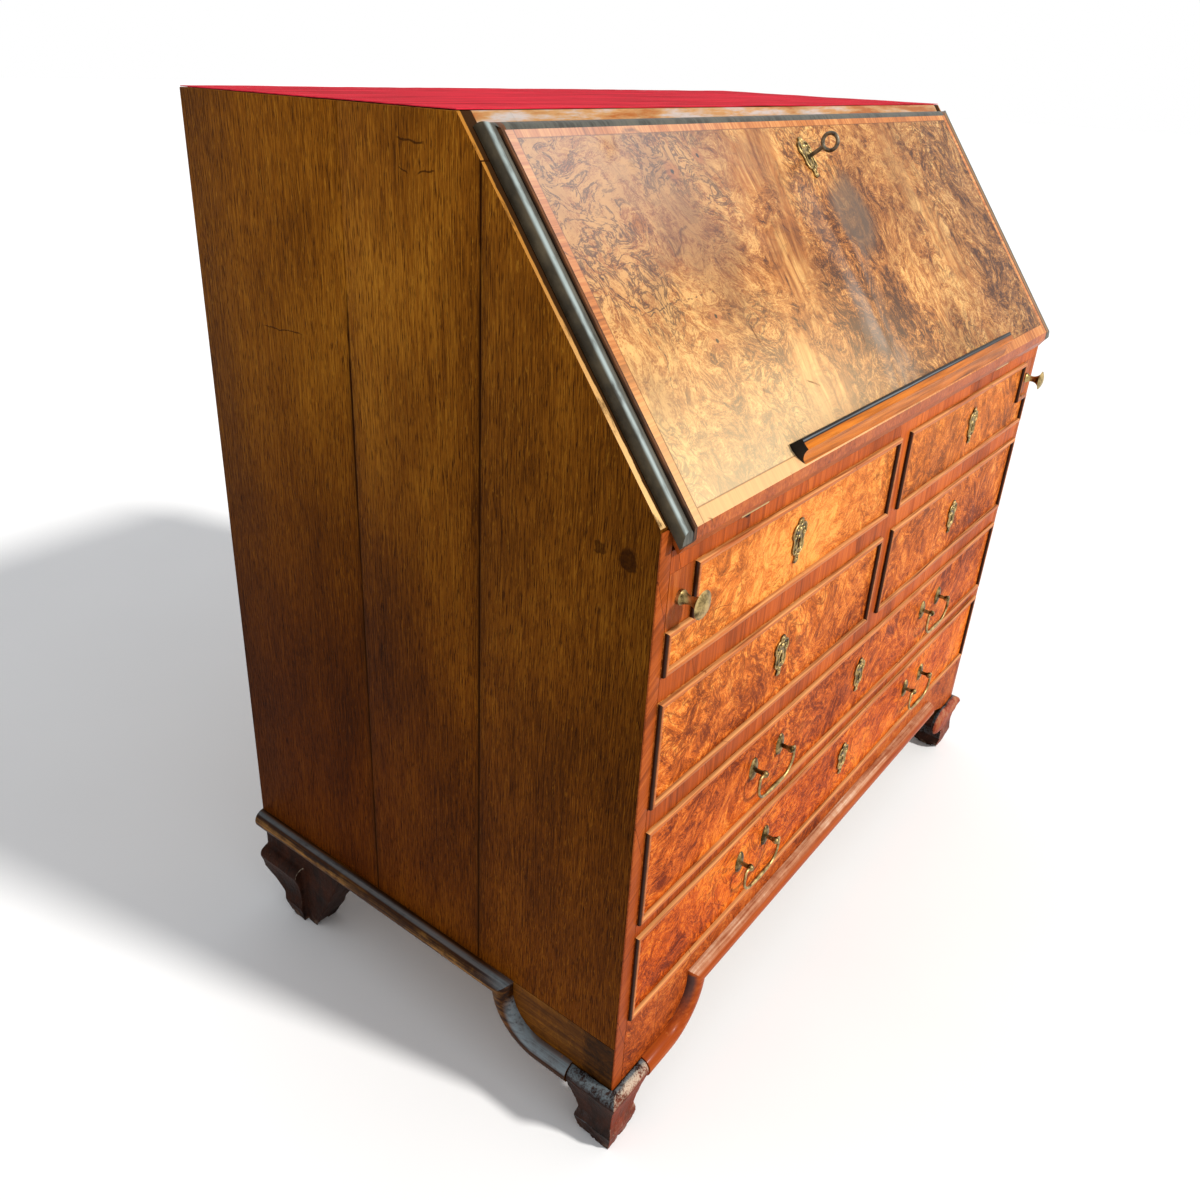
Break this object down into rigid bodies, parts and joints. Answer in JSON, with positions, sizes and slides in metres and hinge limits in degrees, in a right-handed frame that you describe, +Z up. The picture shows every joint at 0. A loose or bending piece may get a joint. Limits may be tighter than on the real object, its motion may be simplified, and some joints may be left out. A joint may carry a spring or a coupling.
{
  "type": "slant-front bureau",
  "caption": "Slant-front writing bureau: hinged fall on sliding lopers over drawers with beaded fronts, pigeonholes behind the fall, half-round base moulding and bracket feet.",
  "frame": {"origin": "middle of the whole box at floor level", "axes": "+Z up, front towards -Y, +X to the right seen from the front"},
  "size_m": [1.066, 0.625, 1.05],
  "materials": {
    "oak": "waxed",
    "drawer_oak": "bare",
    "red_cloth": "woven",
    "brass": "aged",
    "iron": "worn",
    "burr_walnut": "french polished",
    "walnut": "french polished"
  },
  "bodies": {
    "case": {"side_left": "oak", "side_right": "oak", "top_board": "oak", "crossbanded_facings": "walnut", "top_cloth": "red_cloth", "back_boards": "oak", "bottom_board": "oak", "fall_rail": "walnut", "writing_bed": "oak", "drawer_rails": "walnut", "drawer_runners": "oak", "loper_guides": "oak", "pigeonhole_gallery": "drawer_oak", "fall_hinge_fixed": "brass", "base_boards": "walnut", "base_mouldings": "walnut", "foot_wings": "walnut", "foot_front_left": "walnut", "foot_front_right": "walnut", "foot_rear_left": "walnut", "foot_rear_right": "walnut"},
    "fall": {"fall_board": "burr_walnut", "fall_edge_mouldings": "walnut", "book_ledge": "walnut", "fall_escutcheon": "brass", "fall_lock": "iron", "fall_hinge_moving": "brass"},
    "key": {"key": "iron"},
    "bolt": {"lock_bolt": "iron"},
    "loper_left": {"loper_left": "walnut", "loper_knob_left": "brass"},
    "loper_right": {"loper_right": "walnut", "loper_knob_right": "brass"},
    "drawer_1_left": {"drawer_1_left_front": "burr_walnut", "drawer_1_left_box": "drawer_oak", "drawer_1_left_brass": "brass"},
    "drawer_1_right": {"drawer_1_right_front": "burr_walnut", "drawer_1_right_box": "drawer_oak", "drawer_1_right_brass": "brass"},
    "drawer_2_left": {"drawer_2_left_front": "burr_walnut", "drawer_2_left_box": "drawer_oak", "drawer_2_left_brass": "brass"},
    "drawer_2_right": {"drawer_2_right_front": "burr_walnut", "drawer_2_right_box": "drawer_oak", "drawer_2_right_brass": "brass"},
    "drawer_3": {"drawer_3_front": "burr_walnut", "drawer_3_box": "drawer_oak", "drawer_3_brass": "brass"},
    "drawer_3_bail_left": {"drawer_3_bail_left": "brass"},
    "drawer_3_bail_right": {"drawer_3_bail_right": "brass"},
    "drawer_4": {"drawer_4_front": "burr_walnut", "drawer_4_box": "drawer_oak", "drawer_4_brass": "brass"},
    "drawer_4_bail_left": {"drawer_4_bail_left": "brass"},
    "drawer_4_bail_right": {"drawer_4_bail_right": "brass"},
    "small_drawer_1": {"small_drawer_1": "drawer_oak"},
    "small_drawer_2": {"small_drawer_2": "drawer_oak"},
    "small_drawer_3": {"small_drawer_3": "drawer_oak"},
    "small_drawer_4": {"small_drawer_4": "drawer_oak"}
  },
  "joints": [
    {"name": "fall_hinge", "type": "hinge", "parent": "case", "child": "fall", "pos_m": [0, -0.2889, 0.734], "axis": [-1, 0, 0], "range_deg": [-127.1, 0]},
    {"name": "key_turn", "type": "hinge", "parent": "fall", "child": "key", "pos_m": [0, -0.09733, 0.98656], "axis": [0, -0.7967, 0.6043], "range_deg": [0, 180]},
    {"name": "bolt_slide", "type": "slide", "parent": "fall", "child": "bolt", "axis": [0, 0.6043, 0.7967], "range_m": [0, 0.01]},
    {"name": "loper_left_slide", "type": "slide", "parent": "case", "child": "loper_left", "axis": [0, 1, 0], "range_m": [-0.3, 0]},
    {"name": "loper_right_slide", "type": "slide", "parent": "case", "child": "loper_right", "axis": [0, 1, 0], "range_m": [-0.3, 0]},
    {"name": "drawer_1_left_slide", "type": "slide", "parent": "case", "child": "drawer_1_left", "axis": [0, -1, 0], "range_m": [0, 0.38]},
    {"name": "drawer_1_right_slide", "type": "slide", "parent": "case", "child": "drawer_1_right", "axis": [0, -1, 0], "range_m": [0, 0.38]},
    {"name": "drawer_2_left_slide", "type": "slide", "parent": "case", "child": "drawer_2_left", "axis": [0, -1, 0], "range_m": [0, 0.38]},
    {"name": "drawer_2_right_slide", "type": "slide", "parent": "case", "child": "drawer_2_right", "axis": [0, -1, 0], "range_m": [0, 0.38]},
    {"name": "drawer_3_slide", "type": "slide", "parent": "case", "child": "drawer_3", "axis": [0, -1, 0], "range_m": [0, 0.38]},
    {"name": "drawer_3_bail_left_swing", "type": "hinge", "parent": "drawer_3", "child": "drawer_3_bail_left", "pos_m": [-0.251, -0.3005, 0.38875], "axis": [-1, 0, 0], "range_deg": [0, 100]},
    {"name": "drawer_3_bail_right_swing", "type": "hinge", "parent": "drawer_3", "child": "drawer_3_bail_right", "pos_m": [0.251, -0.3005, 0.38875], "axis": [-1, 0, 0], "range_deg": [0, 100]},
    {"name": "drawer_4_slide", "type": "slide", "parent": "case", "child": "drawer_4", "axis": [0, -1, 0], "range_m": [0, 0.38]},
    {"name": "drawer_4_bail_left_swing", "type": "hinge", "parent": "drawer_4", "child": "drawer_4_bail_left", "pos_m": [-0.251, -0.3005, 0.25325], "axis": [-1, 0, 0], "range_deg": [0, 100]},
    {"name": "drawer_4_bail_right_swing", "type": "hinge", "parent": "drawer_4", "child": "drawer_4_bail_right", "pos_m": [0.251, -0.3005, 0.25325], "axis": [-1, 0, 0], "range_deg": [0, 100]},
    {"name": "small_drawer_1_slide", "type": "slide", "parent": "case", "child": "small_drawer_1", "axis": [0, -1, 0], "range_m": [0, 0.15]},
    {"name": "small_drawer_2_slide", "type": "slide", "parent": "case", "child": "small_drawer_2", "axis": [0, -1, 0], "range_m": [0, 0.15]},
    {"name": "small_drawer_3_slide", "type": "slide", "parent": "case", "child": "small_drawer_3", "axis": [0, -1, 0], "range_m": [0, 0.15]},
    {"name": "small_drawer_4_slide", "type": "slide", "parent": "case", "child": "small_drawer_4", "axis": [0, -1, 0], "range_m": [0, 0.15]}
  ],
  "couplings": [
    {"joint": "bolt_slide", "follows": "key_turn", "m_per_rad": 0.0031831}
  ]
}
